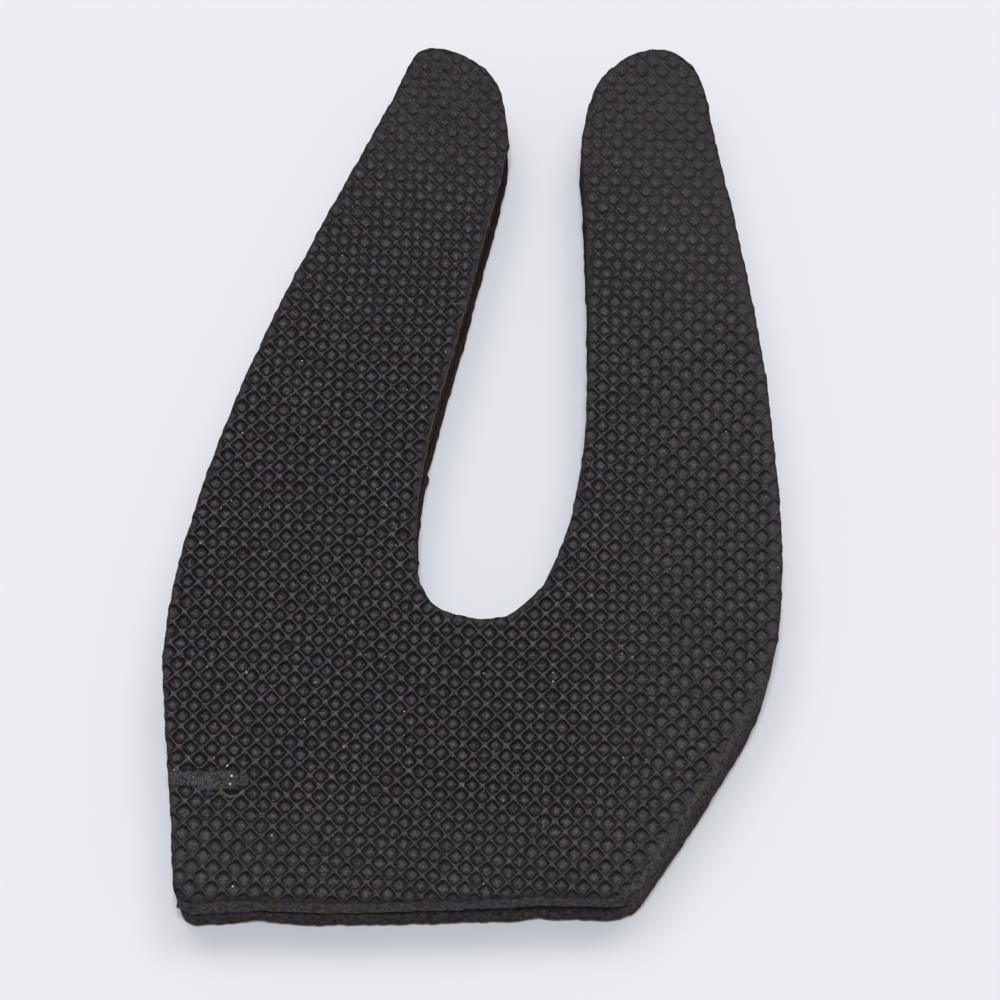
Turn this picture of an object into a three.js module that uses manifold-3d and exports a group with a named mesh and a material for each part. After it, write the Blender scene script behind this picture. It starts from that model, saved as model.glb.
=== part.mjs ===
// A forefoot pad for the inside of a shoe: two plies of black waffle-faced cellular rubber, glued back
// to back with their patterns outwards and cut to an outline with two legs and a slot between them.
// Millimetres. +X is towards the broad leg, +Y runs from the heel end to the leg tips, +Z is up. The pad
// lies on Z = 0 with its bounding box centred on the origin.
import * as THREE from 'three';
import { mergeVertices } from 'three/addons/utils/BufferGeometryUtils.js';
import Module from 'manifold-3d';

// Driving dimensions of the outline
const PAD_LENGTH = 122.8;
const PAD_WIDTH = 82;
const SLOT_DEPTH = 84.1;
const SLOT_WIDTH = 22.9;
const SLOT_CENTRE = 3.9;
const HEEL_CORNER = 2.6;
const GROUND_CORNER = 3.6;
const TIP_CORNER = 2.6;

// Driving dimensions of the lay-up, from the floor upwards
const PLY_THICKNESS = 6;
const GLUE_THICKNESS = 0.2;
const GLUE_CLEARANCE = 0.1;
const GLUE_SETBACK = 0.9;

// Driving dimensions of the cut edge and of the edge that was ground afterwards
const CUT_ARRIS = 0.3;
const UPPER_BEVEL = 1.1;
const LOWER_BEVEL = 0.3;
const GROUND_HEIGHT = 38;
const GROUND_FADE = 16;

// Spacing of the outline's points, the fewest steps in one curve, and the distance within which points
// count as the same one
const EDGE_STEP = 1.7;
const LEAST_STEPS = 4;
const WELD_DISTANCE = 1e-4;

// Driving dimensions of the strip that was pressed smooth across the pattern near the left edge
const STRIP_LENGTH = 10;
const STRIP_WIDTH = 2;
const STRIP_DEPTH = 0.3;
const STRIP_CREASE = 0.35;
const STRIP_CREASE_WIDTH = 0.5;
const STRIP_ABOVE_HEEL = 17;
const STRIP_FROM_EDGE = 1.4;
const STRIP_TURN = THREE.MathUtils.degToRad(-6);

const RUBBER = { color: '#333234', roughness: 0.85, metalness: 0 };
const DRIED_GLUE = { color: '#2c2019', roughness: 0.6, metalness: 0 };

// The outer edges. along is the share of the pad's length above the heel end, and across is the share of
// its half width from the middle, to the left where it is negative.
const HEEL_LEFT_CORNER = { along: 0, across: -0.94 };
const HEEL_EDGE = [
  { along: 0.002, across: -0.72 },
  { along: 0, across: -0.42 },
  { along: 0.003, across: 0 },
  { along: 0.006, across: 0.27 },
];
const GROUND_CORNER_AT = { along: 0.004, across: 0.508 };
const RIGHT_EDGE = [
  { along: 0.066, across: 0.631 },
  { along: 0.11, across: 0.719 },
  { along: 0.176, across: 0.841 },
  { along: 0.222, across: 0.916 },
  { along: 0.271, across: 0.963 },
  { along: 0.315, across: 0.987 },
  { along: 0.39, across: 1 },
  { along: 0.446, across: 0.996 },
  { along: 0.526, across: 0.98 },
  { along: 0.607, across: 0.958 },
  { along: 0.688, across: 0.922 },
  { along: 0.77, across: 0.88 },
  { along: 0.85, across: 0.832 },
  { along: 0.907, across: 0.799 },
];
const LEFT_TIP_CORNER = { along: 1.001, across: -0.196 };
const LEFT_EDGE = [
  { along: 0.915, across: -0.313 },
  { along: 0.817, across: -0.46 },
  { along: 0.72, across: -0.6 },
  { along: 0.622, across: -0.728 },
  { along: 0.522, across: -0.838 },
  { along: 0.422, across: -0.928 },
  { along: 0.346, across: -0.978 },
  { along: 0.28, across: -1 },
  { along: 0.218, across: -0.993 },
  { along: 0.125, across: -0.968 },
];

// The slot. up is the share of its depth above the root, and left and right are shares of its width from
// its centre line.
const SLOT_ROOT = { up: 0, across: -0.12 };
const SLOT_SIDES = [
  { up: 0.006, left: -0.255, right: 0.01 },
  { up: 0.02, left: -0.38, right: 0.092 },
  { up: 0.05, left: -0.465, right: 0.205 },
  { up: 0.09, left: -0.5, right: 0.285 },
  { up: 0.158, left: -0.505, right: 0.375 },
  { up: 0.233, left: -0.482, right: 0.435 },
  { up: 0.31, left: -0.432, right: 0.474 },
  { up: 0.408, left: -0.343, right: 0.495 },
  { up: 0.525, left: -0.23, right: 0.5 },
  { up: 0.642, left: -0.126, right: 0.492 },
  { up: 0.761, left: -0.017, right: 0.478 },
  { up: 0.835, left: 0.027, right: 0.47 },
];

// The rounded leg tips. across is the share of the leg's width from the slot to its outer side, and back
// is the distance below the tip, as a share of the same width.
const RIGHT_TIP = [
  { across: 0.967, back: 0.434 },
  { across: 0.918, back: 0.253 },
  { across: 0.819, back: 0.11 },
  { across: 0.66, back: 0.022 },
  { across: 0.489, back: 0.025 },
  { across: 0.33, back: 0.1 },
  { across: 0.187, back: 0.22 },
  { across: 0.093, back: 0.385 },
];
const LEFT_TIP = [
  { across: 0.03, back: 0.51 },
  { across: 0.095, back: 0.31 },
  { across: 0.23, back: 0.145 },
  { across: 0.41, back: 0.045 },
  { across: 0.585, back: 0 },
];

// The section of a ply's edge, from its glued back to its patterned face. height is a share of the ply's
// thickness, arris is a share of the cut edge's turned-in arris, and bevel is a share of the ground bevel.
const PLY_EDGE = [
  { height: 0, arris: 1, bevel: 0 },
  { height: 0.04, arris: 0.45, bevel: 0 },
  { height: 0.12, arris: 0.1, bevel: 0 },
  { height: 0.5, arris: 0.15, bevel: 0.05 },
  { height: 0.8, arris: 0, bevel: 0.3 },
  { height: 0.94, arris: 0.1, bevel: 0.65 },
  { height: 1, arris: 0.4, bevel: 1 },
];

// Hollows that the knife left in the heel edge. across is the share of the pad's half width from the
// middle, and reach and depth are shares of the ply's thickness along the edge and into it.
const HEEL_DENTS = [
  { across: -0.7, reach: 0.45, depth: 0.03 },
  { across: 0.19, reach: 0.14, depth: 0.05 },
];

const padPoint = ({ along, across }) =>
  new THREE.Vector2((across * PAD_WIDTH) / 2, along * PAD_LENGTH - PAD_LENGTH / 2);

const slotPoint = (up, across) =>
  new THREE.Vector2(SLOT_CENTRE + across * SLOT_WIDTH, PAD_LENGTH / 2 - (1 - up) * SLOT_DEPTH);

// A leg tip's points, between the slot's side at its mouth and the leg's outer side.
function tipPoints(rows, slotSide, outerSide) {
  const width = outerSide - slotSide;
  return rows.map(({ across, back }) =>
    new THREE.Vector2(slotSide + across * width, PAD_LENGTH / 2 - back * Math.abs(width)));
}

// The run from the ground corner up the right leg, over its tip, round the slot and over the left tip.
function runRoundTheLegs() {
  const mouth = SLOT_SIDES.at(-1);
  const rightSide = RIGHT_EDGE.map(padPoint);
  const leftSide = LEFT_EDGE.map(padPoint);
  return [
    ...rightSide,
    ...tipPoints(RIGHT_TIP, slotPoint(mouth.up, mouth.right).x, rightSide.at(-1).x),
    ...SLOT_SIDES.toReversed().map(({ up, right }) => slotPoint(up, right)),
    slotPoint(SLOT_ROOT.up, SLOT_ROOT.across),
    ...SLOT_SIDES.map(({ up, left }) => slotPoint(up, left)),
    ...tipPoints(LEFT_TIP, slotPoint(mouth.up, mouth.left).x, leftSide[0].x),
  ];
}

// The point on the way from a corner to its neighbour where the corner's rounding starts.
const cutBack = (corner, neighbour, reach) =>
  corner.clone().addScaledVector(neighbour.clone().sub(corner).normalize(), reach);

// The outline as a closed ring of points, anticlockwise from above and centred on the origin: three
// smooth runs, with a quadratic curve round each of the three corners between them.
function outlineRing() {
  const runs = [HEEL_EDGE.map(padPoint), runRoundTheLegs(), LEFT_EDGE.map(padPoint)];
  const corners = [
    { at: padPoint(GROUND_CORNER_AT), reach: GROUND_CORNER },
    { at: padPoint(LEFT_TIP_CORNER), reach: TIP_CORNER },
    { at: padPoint(HEEL_LEFT_CORNER), reach: HEEL_CORNER },
  ];
  const curves = runs.flatMap((run, i) => {
    const before = corners.at(i - 1);
    const after = corners[i];
    const next = runs[(i + 1) % runs.length];
    const start = cutBack(before.at, run[0], before.reach);
    const end = cutBack(after.at, run.at(-1), after.reach);
    const onward = cutBack(after.at, next[0], after.reach);
    return [
      new THREE.SplineCurve([start, ...run, end]),
      new THREE.QuadraticBezierCurve(end, after.at, onward),
    ];
  });
  const ring = curves.flatMap((curve) => {
    const steps = Math.max(LEAST_STEPS, Math.round(curve.getLength() / EDGE_STEP));
    return curve.getSpacedPoints(steps).slice(0, -1);
  });
  const box = new THREE.Box2().setFromPoints(ring);
  const middle = box.getCenter(new THREE.Vector2());
  return ring.map((point) => point.sub(middle));
}

// The outward normal at each point of the ring, from its two neighbours.
function outwardNormals(ring) {
  return ring.map((point, i) => {
    const before = ring.at(i - 1);
    const after = ring[(i + 1) % ring.length];
    return new THREE.Vector2(after.y - before.y, before.x - after.x).normalize();
  });
}

const ring = outlineRing();
const normals = outwardNormals(ring);

// How far the edge was ground at a point: 1 along the lower right edge, 0 where it is as cut.
function groundShare({ x, y }) {
  const corner = padPoint(GROUND_CORNER_AT);
  const heightAboveHeel = y + PAD_LENGTH / 2;
  const below = 1 - THREE.MathUtils.smoothstep(heightAboveHeel, GROUND_HEIGHT - GROUND_FADE, GROUND_HEIGHT);
  return below * THREE.MathUtils.smoothstep(x, corner.x - GROUND_CORNER, corner.x);
}

// How deep the knife's hollows are at a point of the heel edge: a bell curve for each.
function dentDepth({ x, y }) {
  const heelEdge = y < (HEEL_CORNER - PAD_LENGTH) / 2 ? 1 : 0;
  return HEEL_DENTS.reduce((depth, dent) => {
    const offset = (x - (dent.across * PAD_WIDTH) / 2) / (dent.reach * PLY_THICKNESS);
    return depth + heelEdge * dent.depth * PLY_THICKNESS * Math.exp(-offset * offset);
  }, 0);
}

// The ring moved inwards by a distance that insetAt gives for each of its points, at one height.
const insetRing = (height, insetAt) => ring.map((point, i) => {
  const moved = point.clone().addScaledVector(normals[i], -insetAt(point));
  return new THREE.Vector3(moved.x, moved.y, height);
});

const wasm = await Module();
wasm.setup();

// A closed body through rings of equal length, listed from the bottom up. Its two end faces share one
// triangulation, which keeps every point of the ring.
function loft(rings) {
  const count = rings[0].length;
  const positions = rings.flat().flatMap(({ x, y, z }) => [x, y, z]);
  const cap = wasm.triangulate([rings[0].map(({ x, y }) => [x, y])]);
  const topStart = (rings.length - 1) * count;
  const triangles = cap.flatMap(([a, b, c]) => [a, c, b, topStart + a, topStart + b, topStart + c]);
  for (let level = 0; level < rings.length - 1; level++) {
    for (let i = 0; i < count; i++) {
      const low = level * count + i;
      const lowNext = level * count + ((i + 1) % count);
      triangles.push(low, lowNext, lowNext + count, low, lowNext + count, low + count);
    }
  }
  const geometry = new THREE.BufferGeometry();
  geometry.setAttribute('position', new THREE.Float32BufferAttribute(positions, 3));
  geometry.setIndex(triangles);
  return geometry;
}

// A ply's body. back is the height of its glued back, and up is 1 where its pattern faces upwards and -1
// where it faces the floor.
function plyBody(back, up, bevelDepth) {
  const rings = PLY_EDGE.map(({ height, arris, bevel }) =>
    insetRing(back + up * height * PLY_THICKNESS, (point) => {
      const ground = groundShare(point);
      return arris * CUT_ARRIS * (1 - ground) + bevel * bevelDepth * ground + dentDepth(point);
    }));
  return loft(up > 0 ? rings : rings.toReversed());
}

// The body that is cut away for the pressed strip: a flat floor with a narrow crease along its side
// towards the heel, as a section carried along the strip. It reaches above the face that it is cut into.
function stripCutter(face) {
  const halfWidth = STRIP_WIDTH / 2;
  const section = new THREE.Shape([
    new THREE.Vector2(-halfWidth - STRIP_DEPTH, STRIP_DEPTH),
    new THREE.Vector2(-halfWidth - STRIP_DEPTH / 2, -STRIP_DEPTH - STRIP_CREASE),
    new THREE.Vector2(-halfWidth + STRIP_CREASE_WIDTH, -STRIP_DEPTH),
    new THREE.Vector2(halfWidth, -STRIP_DEPTH),
    new THREE.Vector2(halfWidth + STRIP_DEPTH, STRIP_DEPTH),
  ]);
  const cutter = new THREE.ExtrudeGeometry(section, { depth: STRIP_LENGTH, bevelEnabled: false });
  cutter.rotateX(Math.PI / 2);
  cutter.rotateZ(Math.PI / 2);
  cutter.rotateZ(STRIP_TURN);
  const height = STRIP_ABOVE_HEEL - PAD_LENGTH / 2;
  const leftEdge = Math.min(...ring.filter(({ y }) => Math.abs(y - height) < 2 * EDGE_STEP).map(({ x }) => x));
  return cutter.translate(leftEdge + STRIP_FROM_EDGE, height, face);
}

// A geometry as a solid that can be cut, with its shared vertices merged.
function solidOf(geometry) {
  geometry.deleteAttribute('normal');
  geometry.deleteAttribute('uv');
  const merged = mergeVertices(geometry, WELD_DISTANCE);
  return new wasm.Manifold(new wasm.Mesh({
    numProp: 3,
    vertProperties: merged.attributes.position.array,
    triVerts: new Uint32Array(merged.index.array),
  }));
}

// A solid as a geometry again.
function geometryOf(solid) {
  const { vertProperties, triVerts } = solid.getMesh();
  const geometry = new THREE.BufferGeometry();
  geometry.setAttribute('position', new THREE.Float32BufferAttribute(vertProperties, 3));
  geometry.setIndex(Array.from(triVerts));
  return geometry;
}

function piece(name, geometry, look) {
  geometry.computeVertexNormals();
  const mesh = new THREE.Mesh(geometry, new THREE.MeshStandardMaterial(look));
  mesh.name = name;
  return mesh;
}

const glueBottom = PLY_THICKNESS + GLUE_CLEARANCE;
const glueTop = glueBottom + GLUE_THICKNESS;
const upperBack = glueTop + GLUE_CLEARANCE;
const topFace = upperBack + PLY_THICKNESS;

const lowerPly = plyBody(PLY_THICKNESS, -1, LOWER_BEVEL);
const glueFilm = loft([glueBottom, glueTop].map((height) => insetRing(height, () => GLUE_SETBACK)));
const upperPly = solidOf(plyBody(upperBack, 1, UPPER_BEVEL)).subtract(solidOf(stripCutter(topFace)));

const pad = new THREE.Group();
pad.name = 'metatarsal_bar';
pad.add(piece('lower_ply', lowerPly, RUBBER));
pad.add(piece('glue_film', glueFilm, DRIED_GLUE));
pad.add(piece('upper_ply', geometryOf(upperPly), RUBBER));

export default pad;
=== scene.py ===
# %% [markdown]
# # A waffle-faced rubber pad for the front of the foot
# The real object is a flat pad that is glued under an insole. It is cut from black cellular rubber sheet
# whose skin carries a small square waffle, and it is two plies thick, glued back to back. The solids come
# from the CAD program as three pieces: two plies and the film of glue between them.
# They could be dressed with a bump map alone, but the pattern also shows in the outline, in the cut edge
# and in how dark its grooves are. So here the waffle is a real surface, and the knife cuts through it.

import math
from collections import namedtuple
from itertools import accumulate

import bpy
import numpy as np
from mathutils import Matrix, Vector
from mathutils.geometry import tessellate_polygon


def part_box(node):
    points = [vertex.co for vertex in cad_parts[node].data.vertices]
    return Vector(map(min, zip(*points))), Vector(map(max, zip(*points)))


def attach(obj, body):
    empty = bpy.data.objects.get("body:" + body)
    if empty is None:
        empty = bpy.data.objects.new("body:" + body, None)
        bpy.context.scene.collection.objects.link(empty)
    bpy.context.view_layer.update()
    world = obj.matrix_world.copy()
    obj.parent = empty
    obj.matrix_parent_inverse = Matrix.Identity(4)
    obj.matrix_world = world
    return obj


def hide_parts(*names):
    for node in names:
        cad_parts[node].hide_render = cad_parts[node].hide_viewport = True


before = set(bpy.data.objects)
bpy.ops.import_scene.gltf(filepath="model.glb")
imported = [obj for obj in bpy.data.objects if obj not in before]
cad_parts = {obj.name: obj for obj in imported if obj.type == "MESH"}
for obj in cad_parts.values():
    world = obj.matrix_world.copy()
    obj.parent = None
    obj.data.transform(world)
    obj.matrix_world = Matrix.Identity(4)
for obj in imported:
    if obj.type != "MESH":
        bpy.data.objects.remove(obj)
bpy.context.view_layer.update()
MM = 0.001


# %% [markdown]
# ## The camera
# A photographer stood at the heel end and looked down steeply through a long lens, so the far leg tips
# look only a little smaller than the heel. A camera could be aimed with a constraint, but its place, its
# tilt and its lens say the same in three numbers, and they stay put.

# %% The camera
CAMERA_PLACE = Vector((0.0034, -0.1808, 0.4840))
CAMERA_TILT = math.radians(20.33)
LENS = 135.63
SENSOR = 36.0

lens = bpy.data.cameras.new("camera")
lens.lens = LENS
lens.sensor_width = SENSOR
camera = bpy.data.objects.new("camera", lens)
camera.location = CAMERA_PLACE
camera.rotation_euler = (CAMERA_TILT, 0, 0)
bpy.context.scene.collection.objects.link(camera)
bpy.context.scene.camera = camera
elevation = round(90 - math.degrees(CAMERA_TILT), 1)
print("camera:", round(camera.location.length, 3), "m from the pad, elevation", elevation)

# %% [markdown]
# ## Small helpers
# Every surface below is worked out in millimetres as whole numpy arrays, and one helper turns an array of
# points and an array of triangles into a mesh. Blender could build the same from primitives and edits, but
# arrays say exactly where each point is and are fast for a hundred thousand points. The others join two rows
# of points, read a mesh back into an array, start a material, and give the curves that things are eased with.

# %% Meshes, materials and curves
def object_from(name, points, triangles, material):
    """An object at the origin made of these points, given in millimetres, and these triangles."""
    mesh = bpy.data.meshes.new(name)
    mesh.vertices.add(len(points))
    mesh.vertices.foreach_set("co", (np.asarray(points) * MM).astype(np.float32).ravel())
    mesh.loops.add(triangles.size)
    mesh.loops.foreach_set("vertex_index", triangles.astype(np.int32).ravel())
    mesh.polygons.add(len(triangles))
    mesh.polygons.foreach_set("loop_start", np.arange(len(triangles), dtype=np.int32) * 3)
    mesh.polygons.foreach_set("use_smooth", np.ones(len(triangles), bool))
    mesh.update(calc_edges=True)
    mesh.materials.append(material)
    made = bpy.data.objects.new(name, mesh)
    bpy.context.scene.collection.objects.link(made)
    return made


def band(first, second):
    """Two triangles for each step between two closed rows of point numbers."""
    first_next, second_next = np.roll(first, -1, -1), np.roll(second, -1, -1)
    halves = [(first, first_next, second_next), (first, second_next, second)]
    return np.concatenate([np.stack(half, -1).reshape(-1, 3) for half in halves])


def numbers_of(items, name, width, kind):
    """One property of all the items of a mesh, as an array."""
    values = np.zeros(len(items) * width, kind)
    items.foreach_get(name, values)
    return values.reshape(-1, width) if width > 1 else values


def bare_material(name, roughness, specular):
    """A material with only its Principled shader, and its node tree and shader."""
    material = bpy.data.materials.new(name)
    material.use_nodes = True
    shader = material.node_tree.nodes["Principled BSDF"]
    shader.inputs["Roughness"].default_value = roughness
    shader.inputs["Specular IOR Level"].default_value = specular
    return material, material.node_tree, shader


def smooth_step(low, high, value):
    """0 below low and 1 above high, with the cubic 3t² - 2t³ between them."""
    share = np.clip((value - low) / (high - low), 0, 1)
    return share * share * (3 - 2 * share)


def bell(offset):
    """The bell curve exp(-offset²)."""
    return np.exp(-offset * offset)


# %% [markdown]
# ## The table top and the light
# The pad was photographed on white paper between two softboxes behind it, left and right, with a smaller
# cooler lamp close to the camera, and the room's walls gave warm light from the sides. The soft shadow in
# front of the heel and the faint blue ones beside the legs tell it. One large lamp overhead would be
# simpler, but its shadows were twice as deep. Each lamp's strength is given as its share of the light that
# reaches the table, so the shares add up to one and the paper's brightness is one number.

# %% The table top and the light
FLOOR_HALF = 2.0
FLOOR_COLOUR = (0.79, 0.775, 0.82, 1)
TABLE_LIGHT = 1.12
LAMPS = [
    {"name": "front_lamp", "lean": 7.7, "heading": 270, "width": 0.12, "share": (0.40, 0.48, 0.50)},
    {"name": "back_left_softbox", "lean": 18.5, "heading": 127, "width": 0.35, "share": (0.16, 0.15, 0.145)},
    {"name": "back_right_softbox", "lean": 18.5, "heading": 46, "width": 0.36, "share": (0.175, 0.17, 0.165)},
]
ROOM_SHARE = (0.265, 0.20, 0.19, 1)


def hang_lamp(name, lean, heading, width, share):
    """A square area lamp one metre from the pad, leaning from straight above towards a heading. A lamp of P
    watts straight above lights the table like a sky of strength P / pi², and a leaning one by its cosine."""
    lean, heading = math.radians(lean), math.radians(heading)
    light = bpy.data.lights.new(name, "AREA")
    light.size = width
    light.energy = TABLE_LIGHT * math.pi**2 / math.cos(lean) * max(share)
    light.color = np.array(share) / max(share)
    holder = bpy.data.objects.new(name, light)
    level = math.sin(lean)
    holder.location = (level * math.cos(heading), level * math.sin(heading), math.cos(lean))
    holder.rotation_euler = (-holder.location).to_track_quat("-Z", "Y").to_euler()
    bpy.context.scene.collection.objects.link(holder)
    return holder


paper, _, paper_shader = bare_material("white_paper", roughness=0.9, specular=0.1)
paper_shader.inputs["Base Color"].default_value = FLOOR_COLOUR

corner_signs = np.array([(-1, -1, 0), (1, -1, 0), (1, 1, 0), (-1, 1, 0)])
table_top = object_from("table_top", corner_signs * FLOOR_HALF / MM, np.array([(0, 1, 2), (0, 2, 3)]), paper)

lamps = [hang_lamp(**row) for row in LAMPS]

room = bpy.data.worlds.new("room")
bpy.context.scene.world = room
room.use_nodes = True
sky = room.node_tree.nodes["Background"].inputs
sky["Color"].default_value = ROOM_SHARE
sky["Strength"].default_value = TABLE_LIGHT
bpy.context.scene.view_settings.view_transform = "Standard"
print("lamps in watts:", {lamp.name: round(lamp.data.energy, 2) for lamp in lamps})

# %% [markdown]
# ## The outline
# The outline is the path of the maker's knife. It could be typed in again from the CAD program's tables,
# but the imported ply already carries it: the ring of points halfway up its wall. Each triangle that stands on
# that ring gives one step to the next point, and following the steps once round puts the ring in order.

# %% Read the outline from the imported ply
WELD = 0.002
STEPS_BETWEEN = 8
upper_low, upper_high = (np.array(corner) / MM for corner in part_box("upper_ply"))
lower_low, lower_high = (np.array(corner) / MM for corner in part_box("lower_ply"))
PLY_THICKNESS = upper_high[2] - upper_low[2]


def ring_of(node, level):
    """A CAD node's ring of points at one height, in order. A step is a triangle's side with both ends at
    the level and the third corner above it."""
    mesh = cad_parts[node].data
    places = numbers_of(mesh.vertices, "co", 3, np.float32)
    corners = numbers_of(mesh.loops, "vertex_index", 1, np.int32)
    cells = np.round(places / MM / WELD)
    points, welded = np.unique(cells, axis=0, return_inverse=True)
    points = points * WELD
    triangles = welded.ravel()[corners].reshape(-1, 3)
    turned = np.concatenate([np.roll(triangles, shift, axis=1) for shift in range(3)])
    height = points[turned][:, :, 2] - level
    at_level = abs(height) < 2 * WELD
    steps = turned[at_level[:, 0] & at_level[:, 1] & (height[:, 2] > 2 * WELD)]
    follow = dict(zip(steps[:, 0].tolist(), steps[:, 1].tolist()))
    walk = accumulate(range(len(follow) - 1), lambda at, _: follow[at], initial=int(steps[0, 0]))
    return points[list(walk)][:, :2]


def even_path(ring, spacing):
    """Points spaced evenly round a closed ring. Between two of the ring's points the path is the cubic
    whose slope at each is half the chord between its neighbours (Catmull-Rom), in short steps."""
    before, after, beyond = np.roll(ring, 1, 0), np.roll(ring, -1, 0), np.roll(ring, -2, 0)
    share = np.linspace(0, 1, STEPS_BETWEEN, endpoint=False)[:, None, None]
    cubic = 3 * ring - before - 3 * after + beyond
    square = 2 * before - 5 * ring + 4 * after - beyond
    dense = ring + 0.5 * ((after - before) * share + square * share**2 + cubic * share**3)
    dense = dense.transpose(1, 0, 2).reshape(-1, 2)
    closed = np.vstack([dense, dense[:1]])
    gone = np.concatenate([[0], np.cumsum(np.linalg.norm(np.diff(closed, axis=0), axis=1))])
    stops = np.linspace(0, gone[-1], round(gone[-1] / spacing), endpoint=False)
    return np.stack([np.interp(stops, gone, closed[:, axis]) for axis in range(2)], axis=1)


def outward(path):
    """The outward normal at each point of an anticlockwise path, square to the chord between its
    neighbours."""
    chord = np.roll(path, -1, 0) - np.roll(path, 1, 0)
    normal = np.stack([chord[:, 1], -chord[:, 0]], axis=1)
    return normal / np.linalg.norm(normal, axis=1, keepdims=True)


PATH_SPACING = 0.55
outline = even_path(ring_of("upper_ply", upper_low[2] + PLY_THICKNESS / 2), PATH_SPACING)
outline_normal = outward(outline)
print("outline:", len(outline), "points, from", outline.min(0).round(2), "to", outline.max(0).round(2))

# %% [markdown]
# ## How far from the edge
# The pattern is worn near the edge, and the skin there is darkened with painted shade, so every surface needs
# to know how far it is from the outline. Blender's Proximity node would tell, but only on a live mesh. Here
# the distance is worked out once on a coarse grid of places, and any other place reads it off between four of
# them.

# %% Distance from the edge
DISTANCE_GRID = 0.5
GRID_MARGIN = 6.0


def distance_to_outline(places):
    """The distance from each place to the nearest side of the outline: the foot on a side lies at the share
    (place - start) · side / side², kept between 0 and 1."""
    side = np.roll(outline, -1, 0) - outline
    away = places[:, None] - outline[None]
    share = np.clip((away * side).sum(-1) / (side * side).sum(-1), 0, 1)
    return np.linalg.norm(away - share[..., None] * side, axis=-1).min(1)


grid_low = outline.min(0) - GRID_MARGIN
grid_size = np.ceil((outline.max(0) + GRID_MARGIN - grid_low) / DISTANCE_GRID).astype(int) + 1
grid_rows = [grid_low + DISTANCE_GRID * np.stack([np.full(grid_size[1], i), np.arange(grid_size[1])], 1)
             for i in range(grid_size[0])]
edge_distance = np.array([distance_to_outline(row) for row in grid_rows])


def from_edge(places):
    """The distance from the outline in mm, read off the grid: the mean of the four grid values round each
    place, weighted by how near they are (bilinear)."""
    steps = np.clip((places - grid_low) / DISTANCE_GRID, 0, grid_size - 1.001)
    i, j = np.floor(steps).astype(int).reshape(-1, 2).T.reshape(2, *places.shape[:-1])
    u, v = steps[..., 0] - i, steps[..., 1] - j
    low = edge_distance[i, j] * (1 - v) + edge_distance[i, j + 1] * v
    high = edge_distance[i + 1, j] * (1 - v) + edge_distance[i + 1, j + 1] * v
    return low * (1 - u) + high * u


print("distance grid:", edge_distance.shape, "farthest from the edge:", edge_distance.max().round(1), "mm")

# %% [markdown]
# ## The waffle and its wear
# The sheet was moulded against an engraved plate: thin ridges in a square lattice, turned about 41 degrees
# from the pad's length, and in each cell a hollow with a low round stud. One table gives the height and the
# shade from a ridge to the middle of a cell, fresh and worn, and both the mesh and the material read it. The
# shade is painted: dark in the grooves and light on the crests and the stud tops.
# Handling has worn the pattern on the right side, at the heel and towards the leg tips, where only soft
# domes are left. Near the left edge the mould pressed a short strip flat, with creases and a small curved
# dent below it. Places are in millimetres on the pad.

# %% The waffle, its wear and its marks
WAFFLE_PITCH = 2.0
LATTICE_TURN = math.radians(41.464)
LATTICE_ORIGIN = np.array([1.239, -42.676])
UNDER_TURN = math.radians(44.0)
UNDER_ORIGIN = np.array([0.4, 0.9])
RELIEF = 0.65
CELL_ROUNDING = 3.6
# The shade and worn_shade columns are painted shade and painted highlight: dark in the grooves, light on the
# crests and stud tops.
WAFFLE_CELL = {
    "from_ridge": [0.0, 0.03, 0.06, 0.09, 0.13, 0.18, 0.25, 0.33, 0.41, 0.5],
    "height": [1.0, 0.85, 0.45, 0.12, 0.0, 0.05, 0.18, 0.36, 0.5, 0.57],
    "shade": [1.14, 0.88, 0.46, 0.22, 0.16, 0.21, 0.42, 0.72, 0.95, 1.1],
    "worn_height": [0.8, 0.78, 0.72, 0.64, 0.56, 0.54, 0.64, 0.82, 0.95, 1.0],
    "worn_shade": [0.7, 0.67, 0.61, 0.53, 0.46, 0.45, 0.52, 0.62, 0.68, 0.7],
}
STUD_FROM = 0.18
STUD_SEED, STUD_GRID = 7, 128
STUD_SHIFT, STUD_SPREAD = 0.045, 0.11
WORN_STUD = 0.7
WORN_DROP = 0.05
WORN_FROM, WORN_TO = 2.0, 56.0
TIP_FROM, TIP_TO = 32.0, 54.0
WEAR = [
    {"axis": 1, "start": WORN_FROM, "end": WORN_TO, "most": 0.36},
    {"axis": 0, "start": 8.0, "end": 30.0, "most": 0.36},
    {"axis": 1, "start": -44.0, "end": -56.0, "most": 0.22},
]
CORNER_WEAR = {"x": -41.0, "y": -61.0, "across": 16.0, "along": 14.0, "most": 0.28}
RIM_WEAR, RIM_WIDTH, RIM_START = 0.85, 1.0, 0.1
RIM_WIDER, WIDER_FROM, WIDER_TO = 1.4, 15.0, 30.0
GROUND_HEIGHT, GROUND_FADE = 38.0, 16.0
GROUND_CORNER, GROUND_CORNER_ACROSS = 3.6, 0.508
GROUND_SIDE, GROUND_SIDE_FADE = 1.1, 0.9
Box = namedtuple("Box", "left right bottom top")
PRESSED_LEVEL = 0.5
PRESSED_BOXES = [
    Box(-41.5, -35.7, -45.5, -43.5),
    Box(-35.9, -30.9, -46.05, -43.4),
    Box(-31.2, -29.35, -45.4, -43.95),
]
CREASES = [
    Box(-37.9, -34.4, -43.5, -43.25),
    Box(-34.0, -30.9, -43.5, -43.3),
    Box(-38.3, -36.6, -45.8, -45.5),
    Box(-35.2, -32.5, -46.35, -46.05),
]
CREASE_DEPTH = 0.2
MARK_SOFT = 0.12
DENT = {"x": -31.4, "y": -45.35, "radius": 1.4, "below": -46.0, "fade": 0.15, "depth": 0.5, "lip": 0.3}


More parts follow.
